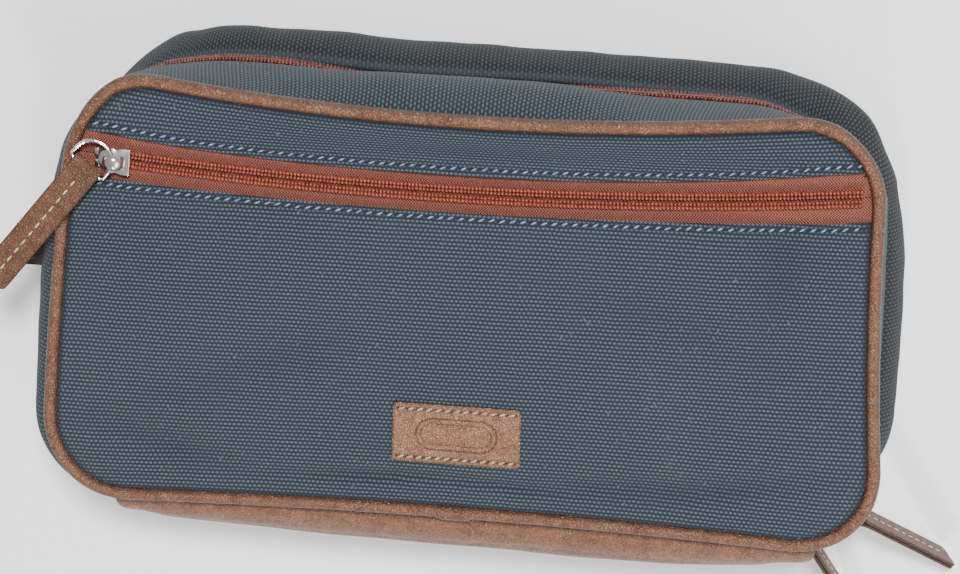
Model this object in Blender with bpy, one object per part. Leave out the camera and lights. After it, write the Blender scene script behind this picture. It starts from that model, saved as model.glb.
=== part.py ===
"""Canvas shaving kit bag with leather trim, lying on its back panel.

Metres, +Z up. X is the bag's width, +Y its top, +Z its depth from the back panel to the front panel.
The origin is the centre of the flat face that the bag rests on.
"""

import math

import bmesh
import bpy
from mathutils import Matrix, Vector

# Driving dimensions of the bag
HALF_WIDTH = 0.1249  # to the centre of the piping
HALF_HEIGHT = 0.0645
CORNER_RADIUS = 0.026
CORNER_STEPS = 8
GAP = 0.0003  # running gap between pieces that touch
CANVAS = 0.0015  # canvas with its backing
LINING = 0.0006
LINING_RIM = 0.0048  # lining's rim to the zip's middle

BACK_PIPING_Z = 0.0026
FRONT_PIPING_Z = 0.0612
ZIP_Z = 0.0320  # mid-depth, where the main zip runs
PIPING_RADIUS = 0.0021
CORD_RADIUS = 0.0012
PIPING_MOUTH = 30.0  # half angle of the slot on the seam side, in degrees
PIPING_JOIN = 0.0004

PANEL_INSET = 0.0024  # panel edge, inside the piping's centre line
BACK_PANEL_TOP = 0.0018
BACK_LINING_FLOOR = 0.0021
FRONT_LINING_FLOOR = 0.0549
FRONT_PANEL_LOW = 0.0610
FRONT_PANEL_TOP = 0.0625
POCKET_WALL_LOW = 0.0552
POCKET_WALL_TOP = 0.0558

# Gusset lobes, as distances out from the piping's centre line
LOBE_BULGE = 0.0048
LOBE_ROOT = -0.0002
VALLEY_OUT = 0.0004
GUSSET_EDGE = 0.0058  # canvas edge to the zip's middle

# Leather base
BAND_HALF_LENGTH = 0.0975
BAND_BULGE_MID = 0.0150
BAND_BULGE_END = 0.0080
BAND_STATIONS = 9
BAND_ROUNDNESS = 2.4  # 2 would be an ellipse
LOBE_ROUNDNESS = 0.8
SHELL_STEPS = 8

# Zips
COIL_GAP = 0.00055  # half the space between the two coils
COIL_OUT = 0.0029  # half width of the closed coil
COIL_THICK = 0.0024
TAPE_THICK = 0.0007
TAPE_OUT = 0.0100
MAIN_COIL_MID = -0.0014
POCKET_COIL_MID = 0.0616
POCKET_SLOT = 0.0056
POCKET_ZIP_Y = 0.0425  # height of the front zip's ends
POCKET_ZIP_SAG = 0.0060
POCKET_ZIP_STEPS = 24
POCKET_TAPE_OUT = 0.0080
POCKET_STOP_INSET = 0.0100  # stop to the left end of the zip
POCKET_WALL_INSET = 0.0028
POCKET_SLIDER_X = -0.1052
STOP_LENGTH = 0.0016

# Sliders, rings and pull straps
PLATE_HALF_WIDTH = 0.0040
PLATE_NEAR = 0.0020
PLATE_FAR = 0.0028
PLATE_LENGTH = 0.0095
WEB = 0.00025
BRIDGE_HALF_LENGTH = 0.0034
BRIDGE_HALF_WIDTH = 0.0012
BRIDGE_OPENING = 0.0025
BRIDGE_HEIGHT = 0.0037
BRIDGE_WALL = 0.0008
BRIDGE_SINK = 0.0002  # bridge's feet into the plate, for the union
WIRE_RADIUS = 0.00055
WIRE_HEIGHT = 0.0048  # wire's centre above the coil's middle
BOW_RADIUS = 0.0060
BAR_DISTANCE = 0.0030
BAR_BEND = 0.0007
STRAP_WIDTH = 0.0098
STRAP_LENGTH = 0.0480
STRAP_LAYER = 0.0010
STRAP_EYE = 0.00078
STRAP_SLIT = 0.0001
STRAP_NECK = 0.0050  # bar to where the two layers meet
POCKET_PULL_ANGLE = 231.0
SIDE_PULL_ANGLE = -36.0
CORNER_PULL_ANGLE = -62.0
SIDE_SLIDER_ANGLE = -55.0
CORNER_SLIDER_ANGLE = -81.0
PULL_DROOP = 31.0

# Label and side tab
LABEL_CENTRE = (0.0, -0.0380)
LABEL_SIZE = (0.0385, 0.0185, 0.0012)
LABEL_RADIUS = 0.0022
LABEL_BEVEL = 0.0003
TAB_CENTRE_Y = 0.0080
TAB_HALF_HEIGHT = 0.0078
TAB_REACH = 0.0120
TAB_LOW = 0.0490
TAB_THICK = 0.0028
TAB_CHAMFER = 0.0020

COLOURS = {
    "canvas": ((0.075, 0.097, 0.119), 0.85, 0.0),
    "leather": ((0.235, 0.135, 0.085), 0.5, 0.0),
    "tape": ((0.28, 0.07, 0.045), 0.8, 0.0),
    "coil": ((0.2, 0.045, 0.03), 0.45, 0.0),
    "nickel": ((0.72, 0.71, 0.68), 0.2, 1.0),
    "lining": ((0.05, 0.06, 0.075), 0.7, 0.0),
    "cord": ((0.75, 0.72, 0.65), 0.8, 0.0),
}


def clear_scene():
    for obj in list(bpy.data.objects):
        bpy.data.objects.remove(obj, do_unlink=True)


def material(name, finish):
    colour, roughness, metallic = COLOURS[finish]
    mat = bpy.data.materials.new(name)
    mat.use_nodes = True
    shader = mat.node_tree.nodes["Principled BSDF"]
    shader.inputs["Base Color"].default_value = (*colour, 1.0)
    shader.inputs["Roughness"].default_value = roughness
    shader.inputs["Metallic"].default_value = metallic
    return mat


def add_object(name, bm, finish, origin=(0, 0, 0), smooth=False):
    """Turn a bmesh in world space into an object whose own origin is at the given point."""
    bmesh.ops.recalc_face_normals(bm, faces=bm.faces[:])
    if bm.calc_volume(signed=True) < 0:
        bmesh.ops.reverse_faces(bm, faces=bm.faces[:])
    bm.transform(Matrix.Translation(-Vector(origin)))
    mesh = bpy.data.meshes.new(name)
    bm.to_mesh(mesh)
    bm.free()
    obj = bpy.data.objects.new(name, mesh)
    obj.location = origin
    bpy.context.collection.objects.link(obj)
    mesh.materials.append(material(name, finish))
    if smooth:
        mesh.shade_smooth()
        mesh.set_sharp_from_angle(angle=math.radians(40))
    return obj


def sweep(name, stations, section, place, finish, origin=(0, 0, 0), smooth=True):
    """Extrude a closed section from station to station, and cap both ends."""
    bm = bmesh.new()
    corners = [bm.verts.new(place(stations[0], *point)) for point in section(stations[0])]
    face = bm.faces.new(corners)
    for index, station in enumerate(stations[1:]):
        made = bmesh.ops.extrude_face_region(bm, geom=[face], use_keep_orig=index == 0)
        if index and face.is_valid:
            bmesh.ops.delete(bm, geom=[face], context="FACES_ONLY")
        face = next(item for item in made["geom"] if isinstance(item, bmesh.types.BMFace))
        for vert, point in zip(face.verts, section(station)):
            vert.co = place(station, *point)
    return add_object(name, bm, finish, origin, smooth)


def plate(name, points, low, high, finish, bevel=0.0):
    """A flat plate from an outline in X and Y."""
    bm = bmesh.new()
    face = bm.faces.new([bm.verts.new((x, y, low)) for x, y in points])
    made = bmesh.ops.extrude_face_region(bm, geom=[face])
    lifted = [item for item in made["geom"] if isinstance(item, bmesh.types.BMVert)]
    bmesh.ops.translate(bm, vec=(0, 0, high - low), verts=lifted)
    if bevel:
        rim = [edge for edge in bm.edges if all(v.co.z > high - 1e-6 for v in edge.verts)]
        bmesh.ops.bevel(bm, geom=rim, offset=bevel, segments=1, affect="EDGES")
    return add_object(name, bm, finish)


# Outline of the bag, as stations of position and outward normal

def corner_centre(side_x, side_y):
    return Vector((side_x * (HALF_WIDTH - CORNER_RADIUS), side_y * (HALF_HEIGHT - CORNER_RADIUS), 0))


def corner_stations(side_x, side_y, start):
    """Stations round one corner, anticlockwise from the start angle in degrees."""
    centre = corner_centre(side_x, side_y)
    stations = []
    for step in range(CORNER_STEPS + 1):
        angle = math.radians(start + 90.0 * step / CORNER_STEPS)
        normal = Vector((math.cos(angle), math.sin(angle), 0))
        stations.append((centre + normal * CORNER_RADIUS, normal))
    return stations


def ring_stations():
    """Anticlockwise from the right end of the base straight to its left end."""
    return (
        corner_stations(1, -1, -90)
        + corner_stations(1, 1, 0)
        + corner_stations(-1, 1, 90)
        + corner_stations(-1, -1, 180)
    )


def base_station(x):
    return (Vector((x, -HALF_HEIGHT, 0)), Vector((0, -1, 0)))


def wall_stations():
    """The U of the gusset: from the band's right end, over the top, to its left end."""
    start = BAND_HALF_LENGTH + GAP
    return [base_station(start)] + ring_stations() + [base_station(-start)]


def loop_stations():
    """Once round, from the join at the middle of the base."""
    return [base_station(PIPING_JOIN / 2)] + ring_stations() + [base_station(-PIPING_JOIN / 2)]


def outward(station, out, z):
    point, normal = station
    return point + normal * out + Vector((0, 0, z))


def panel_outline(inset):
    return [tuple((point - normal * inset).xy) for point, normal in ring_stations()]


# Shells of the body

def lobe_section(low, high):
    """Canvas lobe between a piping (first height) and the zip valley (second height)."""
    outer = []
    for step in range(SHELL_STEPS + 1):
        t = step / SHELL_STEPS
        z = low + (high - low) * t
        root = LOBE_ROOT + (VALLEY_OUT - LOBE_ROOT) * t
        outer.append((root + LOBE_BULGE * math.sin(math.pi * t) ** LOBE_ROUNDNESS, z))
    inner = [(out - CANVAS, z) for out, z in reversed(outer)]
    return lambda station: outer + inner


def band_section(low, high):
    """Half of the leather base, bulging most at mid-depth."""

    def section(station):
        x = station[0].x / BAND_HALF_LENGTH
        bulge = BAND_BULGE_END + (BAND_BULGE_MID - BAND_BULGE_END) * (1 - x * x)
        outer = []
        for step in range(SHELL_STEPS + 1):
            t = step / SHELL_STEPS
            out = bulge * math.sqrt(max(0.0, 1 - (1 - t) ** BAND_ROUNDNESS))
            outer.append((out, low + (high - low) * t))
        inner = [(out - CANVAS, z) for out, z in reversed(outer)]
        return outer + inner

    return section


def box_section(out_low, out_high, z_low, z_high):
    corners = [(out_low, z_low), (out_high, z_low), (out_high, z_high), (out_low, z_high)]
    return lambda station: corners


def piping_section(z):
    """Leather folded round the cord, open on the seam side."""
    bore = CORD_RADIUS + GAP
    outer = []
    inner = []
    for step in range(SHELL_STEPS + 1):
        turn = (360 - 2 * PIPING_MOUTH) * step / SHELL_STEPS
        angle = math.radians(180 + PIPING_MOUTH + turn)
        ray = (math.cos(angle), math.sin(angle))
        outer.append((ray[0] * PIPING_RADIUS, z + ray[1] * PIPING_RADIUS))
        inner.append((ray[0] * bore, z + ray[1] * bore))
    return lambda station: outer + inner[::-1]


def cord_section(z):
    points = []
    for step in range(8):
        angle = math.tau * step / 8
        points.append((CORD_RADIUS * math.cos(angle), z + CORD_RADIUS * math.sin(angle)))
    return lambda station: points


def make_half(side, piping_z, lobe_end, zip_side):
    """One half of the bag's wall: piping, cord, gusset, base, tape, coil and stops."""
    sweep(f"{side}_piping", loop_stations(), piping_section(piping_z), outward, "leather")
    sweep(f"{side}_piping_cord", loop_stations(), cord_section(piping_z), outward, "cord")

    valley = ZIP_Z + zip_side * GUSSET_EDGE
    sweep(f"{side}_gusset", wall_stations(), lobe_section(lobe_end, valley), outward, "canvas")

    step = 2 * BAND_HALF_LENGTH / (BAND_STATIONS - 1)
    base = [base_station(-BAND_HALF_LENGTH + step * i) for i in range(BAND_STATIONS)]
    middle = ZIP_Z + zip_side * GAP / 2
    sweep(f"base_band_{side}", base, band_section(lobe_end, middle), outward, "leather")

    near = ZIP_Z + zip_side * COIL_GAP
    far = ZIP_Z + zip_side * COIL_OUT
    half = COIL_THICK / 2
    coil = box_section(MAIN_COIL_MID - half, MAIN_COIL_MID + half, near, far)
    sweep(f"main_zip_coil_{side}", wall_stations(), coil, outward, "coil")

    tape_low = MAIN_COIL_MID - half
    tape_near = far + zip_side * GAP
    tape_far = ZIP_Z + zip_side * TAPE_OUT
    tape = box_section(tape_low, tape_low + TAPE_THICK, tape_near, tape_far)
    sweep(f"main_zip_tape_{side}", wall_stations(), tape, outward, "tape")


def make_linings():
    """Trays of thin lining inside both halves, each a floor with a wall round it."""
    inset = -(MAIN_COIL_MID - COIL_THICK / 2) + 2 * GAP
    floors = {
        "back": (BACK_LINING_FLOOR, ZIP_Z - LINING_RIM),
        "front": (FRONT_LINING_FLOOR, ZIP_Z + LINING_RIM),
    }
    for side, (floor, rim) in floors.items():
        towards = 1 if rim > floor else -1
        bm = bmesh.new()
        face = bm.faces.new([bm.verts.new((x, y, floor)) for x, y in panel_outline(inset)])
        made = bmesh.ops.extrude_face_region(bm, geom=[face])
        lifted = [item for item in made["geom"] if isinstance(item, bmesh.types.BMVert)]
        bmesh.ops.translate(bm, vec=(0, 0, rim - floor), verts=lifted)
        lid = next(item for item in made["geom"] if isinstance(item, bmesh.types.BMFace))
        bmesh.ops.recalc_face_normals(bm, faces=bm.faces[:])
        bmesh.ops.inset_region(bm, faces=[lid], thickness=LINING, use_even_offset=True)
        made = bmesh.ops.extrude_face_region(bm, geom=[lid])
        if lid.is_valid:
            bmesh.ops.delete(bm, geom=[lid], context="FACES_ONLY")
        sunk = [item for item in made["geom"] if isinstance(item, bmesh.types.BMVert)]
        bmesh.ops.translate(bm, vec=(0, 0, floor + towards * LINING - rim), verts=sunk)
        add_object(f"{side}_lining", bm, "lining")


# The front panel and its pocket zip

def zip_radius():
    half = HALF_WIDTH - PANEL_INSET
    return (half * half + POCKET_ZIP_SAG**2) / (2 * POCKET_ZIP_SAG)


def zip_centre():
    """Centre of the shallow arc that the pocket zip follows."""
    return Vector((0, POCKET_ZIP_Y - POCKET_ZIP_SAG + zip_radius(), 0))


def zip_point(x, across, z):
    """A point at the given distance above the zip's line, measured along the arc's radius."""
    centre = zip_centre()
    radius = zip_radius() - across
    return Vector((x, centre.y - math.sqrt(radius * radius - x * x), z))


def side_x(y, inset):
    """Half width of the panel's outline at a height."""
    half = HALF_WIDTH - inset
    past = abs(y) - (HALF_HEIGHT - CORNER_RADIUS)
    if past <= 0:
        return half
    radius = CORNER_RADIUS - inset
    return half - radius + math.sqrt(radius * radius - past * past)


def zip_edge(across, inset):
    """Points along a line beside the pocket zip, from left to right."""
    half = side_x(zip_point(HALF_WIDTH - inset, across, 0).y, inset)
    half = side_x(zip_point(half, across, 0).y, inset)
    step = 2 * half / POCKET_ZIP_STEPS
    return [zip_point(-half + step * i, across, 0) for i in range(POCKET_ZIP_STEPS + 1)]


def make_front_panel():
    outline = [Vector((x, y, 0)) for x, y in panel_outline(PANEL_INSET)]
    upper_edge = zip_edge(POCKET_SLOT, PANEL_INSET)
    top = [p for p in outline if p.y > upper_edge[0].y + GAP]
    plate(
        "front_panel_upper",
        [p.xy for p in upper_edge + top],
        FRONT_PANEL_LOW,
        FRONT_PANEL_TOP,
        "canvas",
    )
    lower_edge = zip_edge(-POCKET_SLOT, PANEL_INSET)
    bottom = [p for p in outline if p.y < lower_edge[0].y - GAP]
    right = [p for p in bottom if p.x > 0]
    left = [p for p in bottom if p.x < 0]
    plate(
        "front_panel_lower",
        [p.xy for p in lower_edge[::-1] + left + right],
        FRONT_PANEL_LOW,
        FRONT_PANEL_TOP,
        "canvas",
    )


def make_pocket_zip():
    """Tapes, coils and stops of the front zip, above and below its line."""
    reach = side_x(POCKET_ZIP_Y, PANEL_INSET) - 2 * GAP
    step = 2 * reach / POCKET_ZIP_STEPS
    stations = [-reach + step * i for i in range(POCKET_ZIP_STEPS + 1)]
    low = POCKET_COIL_MID - COIL_THICK / 2

    def strip(name, near, far, z_low, z_high, finish, points):
        corners = [(near, z_low), (far, z_low), (far, z_high), (near, z_high)]
        sweep(name, points, lambda x: corners, zip_point, finish)

    for name, way in (("upper", 1), ("lower", -1)):
        coil = (way * COIL_GAP, way * COIL_OUT)
        start = POCKET_SLIDER_X - PLATE_LENGTH / 2
        run = [x for x in stations if x > start]
        end = [-reach + POCKET_STOP_INSET, -reach + POCKET_STOP_INSET + STOP_LENGTH]
        top = low + COIL_THICK
        strip(f"pocket_zip_coil_{name}", *coil, low, top, "coil", [start] + run)
        edge = way * (COIL_OUT + GAP)
        far = way * POCKET_TAPE_OUT
        tape_reach = side_x(zip_point(reach, far, 0).y, PANEL_INSET) - 2 * GAP
        points = [x * tape_reach / reach for x in stations]
        strip(f"pocket_zip_tape_{name}", edge, far, low - GAP, low, "tape", points)
        strip(f"pocket_zip_stop_{name}", *coil, low, top, "nickel", end)


def make_pocket_wall():
    points = panel_outline(POCKET_WALL_INSET)
    plate("pocket_back_wall", points, POCKET_WALL_LOW, POCKET_WALL_TOP, "lining")


def make_label():
    width, height, thick = LABEL_SIZE
    points = []
    for side_a, side_b, start in ((1, -1, -90), (1, 1, 0), (-1, 1, 90), (-1, -1, 180)):
        for step in range(5):
            angle = math.radians(start + 22.5 * step)
            x = side_a * (width / 2 - LABEL_RADIUS) + LABEL_RADIUS * math.cos(angle)
            y = side_b * (height / 2 - LABEL_RADIUS) + LABEL_RADIUS * math.sin(angle)
            points.append((LABEL_CENTRE[0] + x, LABEL_CENTRE[1] + y))
    low = FRONT_PANEL_TOP + GAP
    plate("label_patch", points, low, low + thick, "leather", bevel=LABEL_BEVEL)


def make_side_tab():
    """Folded leather tab on the left of the front gusset."""
    low = -HALF_WIDTH - LOBE_BULGE - GAP
    far = low - TAB_REACH
    half = TAB_HALF_HEIGHT
    cut = TAB_CHAMFER
    points = [(low, -half), (low, half), (far + cut, half), (far, half - cut)]
    points += [(far, -half + cut), (far + cut, -half)]
    outline = [(x, y + TAB_CENTRE_Y) for x, y in points]
    plate("side_tab", outline, TAB_LOW, TAB_LOW + TAB_THICK, "leather")


# Sliders and pulls

def axes_matrix(origin, along, across):
    """A frame at the origin whose X is along, Y is across and Z is their normal."""
    x = Vector(along).normalized()
    y = Vector(across).normalized()
    z = x.cross(y)
    rotation = Matrix((x, y, z)).transposed().to_4x4()
    return Matrix.Translation(origin) @ rotation


def make_slider(name, frame, pivot):
    """Two plates joined by a thin web, with an arch over the upper plate for the ring."""
    plate_half = PLATE_LENGTH / 2
    section = [
        (-PLATE_HALF_WIDTH, -PLATE_FAR),
        (PLATE_HALF_WIDTH, -PLATE_FAR),
        (PLATE_HALF_WIDTH, -PLATE_NEAR),
        (WEB, -PLATE_NEAR),
        (WEB, PLATE_NEAR),
        (PLATE_HALF_WIDTH, PLATE_NEAR),
        (PLATE_HALF_WIDTH, PLATE_FAR),
        (-PLATE_HALF_WIDTH, PLATE_FAR),
        (-PLATE_HALF_WIDTH, PLATE_NEAR),
        (-WEB, PLATE_NEAR),
        (-WEB, -PLATE_NEAR),
        (-PLATE_HALF_WIDTH, -PLATE_NEAR),
    ]
    bm = bmesh.new()
    face = bm.faces.new([bm.verts.new((-plate_half, a, b)) for a, b in section])
    made = bmesh.ops.extrude_face_region(bm, geom=[face])
    moved = [item for item in made["geom"] if isinstance(item, bmesh.types.BMVert)]
    bmesh.ops.translate(bm, vec=(PLATE_LENGTH, 0, 0), verts=moved)
    bm.transform(frame)
    slider = add_object(name, bm, "nickel", pivot)

    base = PLATE_FAR - BRIDGE_SINK
    top = PLATE_FAR + BRIDGE_HEIGHT
    arch = [
        (-BRIDGE_HALF_LENGTH, base),
        (-BRIDGE_OPENING, base),
        (-BRIDGE_OPENING, top - BRIDGE_WALL),
        (BRIDGE_OPENING, top - BRIDGE_WALL),
        (BRIDGE_OPENING, base),
        (BRIDGE_HALF_LENGTH, base),
        (BRIDGE_HALF_LENGTH, top - BRIDGE_WALL),
        (BRIDGE_HALF_LENGTH - BRIDGE_WALL, top),
        (-BRIDGE_HALF_LENGTH + BRIDGE_WALL, top),
        (-BRIDGE_HALF_LENGTH, top - BRIDGE_WALL),
    ]
    bm = bmesh.new()
    face = bm.faces.new([bm.verts.new((a, -BRIDGE_HALF_WIDTH, b)) for a, b in arch])
    made = bmesh.ops.extrude_face_region(bm, geom=[face])
    moved = [item for item in made["geom"] if isinstance(item, bmesh.types.BMVert)]
    bmesh.ops.translate(bm, vec=(0, 2 * BRIDGE_HALF_WIDTH, 0), verts=moved)
    bm.transform(frame)
    bridge = add_object(name + "_bridge_solid", bm, "nickel", pivot)
    join = slider.modifiers.new("bridge", "BOOLEAN")
    join.operation = "UNION"
    join.solver = "EXACT"
    join.object = bridge
    bridge.hide_render = True
    bridge.display_type = "WIRE"
    return slider


def make_pull(prefix, bow_centre, along, across):
    """D ring and folded strap. The bow's centre is the frame's origin, and the strap runs along X."""
    frame = axes_matrix(bow_centre, along, across)
    points = []
    for step in range(13):
        angle = math.radians(90 + 180 * step / 12)
        points.append((BOW_RADIUS * math.cos(angle), BOW_RADIUS * math.sin(angle)))
    points.append((BAR_DISTANCE - BAR_BEND, -BOW_RADIUS))
    points.append((BAR_DISTANCE, -BOW_RADIUS + BAR_BEND))
    points.append((BAR_DISTANCE, BOW_RADIUS - BAR_BEND))
    points.append((BAR_DISTANCE - BAR_BEND, BOW_RADIUS))
    curve = bpy.data.curves.new(prefix + "_ring", "CURVE")
    curve.dimensions = "3D"
    curve.bevel_depth = WIRE_RADIUS
    curve.bevel_resolution = 2
    spline = curve.splines.new("POLY")
    spline.points.add(len(points) - 1)
    for target, (x, y) in zip(spline.points, points):
        target.co = (x, y, 0, 1)
    spline.use_cyclic_u = True
    ring = bpy.data.objects.new(prefix + "_ring", curve)
    ring.matrix_world = frame
    bpy.context.collection.objects.link(ring)
    curve.materials.append(material(prefix + "_ring", "nickel"))

    skin = STRAP_EYE + STRAP_LAYER
    neck = STRAP_NECK
    far = STRAP_LENGTH
    outer = [(far, STRAP_SLIT + STRAP_LAYER), (neck, STRAP_SLIT + STRAP_LAYER)]
    inner = [(far, -STRAP_SLIT), (neck, -STRAP_SLIT)]
    for step in range(9):
        angle = math.radians(90 + 180 * step / 8)
        outer.append((skin * math.cos(angle), skin * math.sin(angle)))
        inner.append((STRAP_EYE * math.cos(angle), -STRAP_EYE * math.sin(angle)))
    outer += [(neck, -STRAP_SLIT - STRAP_LAYER), (far, -STRAP_SLIT - STRAP_LAYER)]
    inner += [(neck, STRAP_SLIT), (far, STRAP_SLIT)]
    bm = bmesh.new()
    start = [bm.verts.new((x + BAR_DISTANCE, -STRAP_WIDTH / 2, z)) for x, z in outer + inner]
    face = bm.faces.new(start)
    made = bmesh.ops.extrude_face_region(bm, geom=[face])
    moved = [item for item in made["geom"] if isinstance(item, bmesh.types.BMVert)]
    bmesh.ops.translate(bm, vec=(0, STRAP_WIDTH, 0), verts=moved)
    bm.transform(frame)
    bar = frame @ Vector((BAR_DISTANCE, 0, 0))
    add_object(prefix + "_strap", bm, "leather", bar, smooth=True)


def make_pocket_pull():
    x = POCKET_SLIDER_X
    centre = zip_centre()
    spot = zip_point(x, 0, POCKET_COIL_MID)
    normal = Vector((spot.x - centre.x, spot.y - centre.y, 0)).normalized()
    along = Vector((-normal.y, normal.x, 0))
    frame = axes_matrix(spot, along, -normal)
    make_slider("pocket_slider", frame, centre)
    bridge = spot + Vector((0, 0, WIRE_HEIGHT))
    angle = math.radians(POCKET_PULL_ANGLE)
    strap = Vector((math.cos(angle), math.sin(angle), 0))
    across = Vector((-strap.y, strap.x, 0))
    make_pull("pocket_pull", bridge - along * BOW_RADIUS, strap, across)


def make_main_pull(prefix, slider_angle, pull_angle):
    """A slider on the lower right corner of the main zip, with its ring and drooping strap."""
    centre = corner_centre(1, -1) + Vector((0, 0, ZIP_Z))
    angle = math.radians(slider_angle)
    normal = Vector((math.cos(angle), math.sin(angle), 0))
    spot = centre + normal * (CORNER_RADIUS + MAIN_COIL_MID)
    along = Vector((normal.y, -normal.x, 0))
    frame = axes_matrix(spot, along, normal.cross(along))
    make_slider(prefix + "_slider", frame, centre)
    angle = math.radians(pull_angle)
    level = Vector((math.cos(angle), math.sin(angle), 0))
    droop = math.radians(PULL_DROOP)
    strap = level * math.cos(droop) - Vector((0, 0, math.sin(droop)))
    across = level * math.sin(droop) + Vector((0, 0, math.cos(droop)))
    bridge = spot + normal * WIRE_HEIGHT
    make_pull(prefix + "_pull", bridge + level * BOW_RADIUS, strap, across)


def main():
    clear_scene()
    plate("back_panel", panel_outline(PANEL_INSET), 0.0, BACK_PANEL_TOP, "canvas")
    make_half("back", BACK_PIPING_Z, BACK_PIPING_Z + PIPING_RADIUS + GAP, -1)
    make_half("front", FRONT_PIPING_Z, FRONT_PIPING_Z - PIPING_RADIUS - GAP, 1)
    make_linings()
    make_front_panel()
    make_pocket_zip()
    make_pocket_wall()
    make_label()
    make_side_tab()
    make_pocket_pull()
    make_main_pull("side", SIDE_SLIDER_ANGLE, SIDE_PULL_ANGLE)
    make_main_pull("corner", CORNER_SLIDER_ANGLE, CORNER_PULL_ANGLE)


main()
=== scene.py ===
import math
import random

import bpy
import numpy as np
from mathutils import Matrix, Vector


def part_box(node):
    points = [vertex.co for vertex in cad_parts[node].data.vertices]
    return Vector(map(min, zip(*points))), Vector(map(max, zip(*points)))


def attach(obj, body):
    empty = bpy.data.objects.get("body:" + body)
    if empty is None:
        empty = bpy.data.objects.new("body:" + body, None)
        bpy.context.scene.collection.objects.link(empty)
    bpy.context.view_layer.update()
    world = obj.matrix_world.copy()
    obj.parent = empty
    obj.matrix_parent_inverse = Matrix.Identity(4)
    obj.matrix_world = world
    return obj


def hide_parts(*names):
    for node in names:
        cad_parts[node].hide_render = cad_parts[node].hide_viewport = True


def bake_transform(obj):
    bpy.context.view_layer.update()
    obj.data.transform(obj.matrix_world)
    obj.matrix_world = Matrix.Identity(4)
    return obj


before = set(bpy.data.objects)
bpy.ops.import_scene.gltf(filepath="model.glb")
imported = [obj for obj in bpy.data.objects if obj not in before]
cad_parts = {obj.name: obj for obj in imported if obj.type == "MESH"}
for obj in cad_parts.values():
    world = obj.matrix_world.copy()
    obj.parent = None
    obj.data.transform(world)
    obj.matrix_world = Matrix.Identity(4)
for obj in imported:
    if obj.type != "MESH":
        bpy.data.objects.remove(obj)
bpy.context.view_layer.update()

mm = 0.001
mapUnit = 100  # mm to one unit of a cloth's own map
rng = random.Random(7)

# Outline of the bag at the piping, in mm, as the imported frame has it
bag = {
    "halfWidth": 124.9,
    "halfHeight": 64.5,
    "corner": 26.0,
    "frontPiping": 61.2,
    "backPiping": 2.6,
    "zipDepth": 32.0,
}


# helpers for meshes

def clearChoice():
    if bpy.context.object and bpy.context.object.mode != "OBJECT":
        bpy.ops.object.mode_set(mode="OBJECT")
    bpy.ops.object.select_all(action="DESELECT")


def choose(obj):
    clearChoice()
    obj.select_set(True)
    bpy.context.view_layer.objects.active = obj


def coords(obj):
    flat = np.empty(len(obj.data.vertices) * 3)
    obj.data.vertices.foreach_get("co", flat)
    return flat.reshape(-1, 3)


def setCoords(obj, points):
    obj.data.vertices.foreach_set("co", np.asarray(points, float).ravel())
    obj.data.update()


def applyAll(obj):
    choose(obj)
    for modifier in list(obj.modifiers):
        bpy.ops.object.modifier_apply(modifier=modifier.name)


def freeze(obj):
    # place, turn and scale go into the mesh
    choose(obj)
    bpy.ops.object.transform_apply(location=True, rotation=True, scale=True)


def smooth(obj, angle=60):
    choose(obj)
    bpy.ops.object.shade_smooth_by_angle(angle=math.radians(angle))


roundLength = 4 * (bag["halfWidth"] + bag["halfHeight"] - 2 * bag["corner"]) + math.tau * bag["corner"]


def outline(s):
    # point and outward normal at a length round the piping, from the middle of the base, anticlockwise
    a = bag["halfWidth"] - bag["corner"]
    b = bag["halfHeight"] - bag["corner"]
    arc = math.pi * bag["corner"] / 2
    ends = np.cumsum([0, a, arc, 2 * b, arc, 2 * a, arc, 2 * b, arc, a])
    s = np.mod(np.asarray(s, float), roundLength)
    angle = np.radians(np.interp(s, ends, [-90, -90, 0, 0, 90, 90, 180, 180, 270, 270]))
    middleX = np.interp(s, ends, [0, a, a, a, a, -a, -a, -a, -a, 0])
    middleY = np.interp(s, ends, [-b, -b, -b, b, b, b, b, -b, -b, -b])
    nx, ny = np.cos(angle), np.sin(angle)
    return middleX + bag["corner"] * nx, middleY + bag["corner"] * ny, nx, ny


def ease(t):
    t = np.clip(t, 0, 1)
    return t * t * (3 - 2 * t)


def hump(away, reach, power=2):
    # 1 in the middle, falling off to either side
    return np.exp(-(away / reach) ** power)


def waves(x, y, seed, scale):
    # soft unrepeating swell from a few sines, from -1 to 1
    turn = random.Random(seed)
    total = 0
    for octave in range(5):
        angle = turn.uniform(0, math.tau)
        reach = scale * turn.uniform(0.6, 1.5)
        along = x * math.cos(angle) + y * math.sin(angle)
        total = total + np.sin(along / reach * math.tau + turn.uniform(0, 6))
    return total / 5


settling = {
    "from": 34.0,  # depth where the front half starts to settle
    "to": 60.0,
    "sagReach": 112.0,
    "topSag": 7.4,
    "baseRise": 2.9,
    "sideFrom": 70.0,
    "sideReach": 50.0,
    "leftIn": -0.1,
    "rightIn": 1.6,
    "baseLeft": (-3.6, -2.5),  # how far each corner of the front ends up from its even place
    "baseRight": (3.0, -3.9),
    "topLeft": (2.8, 2.3),
    "topRight": (-5.0, -0.1),
    "topLeftLean": 5.6,  # the slack top left corner also leans in
    "backFrom": 18.0,
    "backTo": 56.0,
    # slack corners of the back: x, y, radius, and how far each is pulled in
    "backCorners": (
        (-124, 68, 32, 13.5, -1.0),
        (124, 68, 34, -4.5, -6.0),
        (126, 46, 20, -4.0, 0.0),
    ),
}


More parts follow.
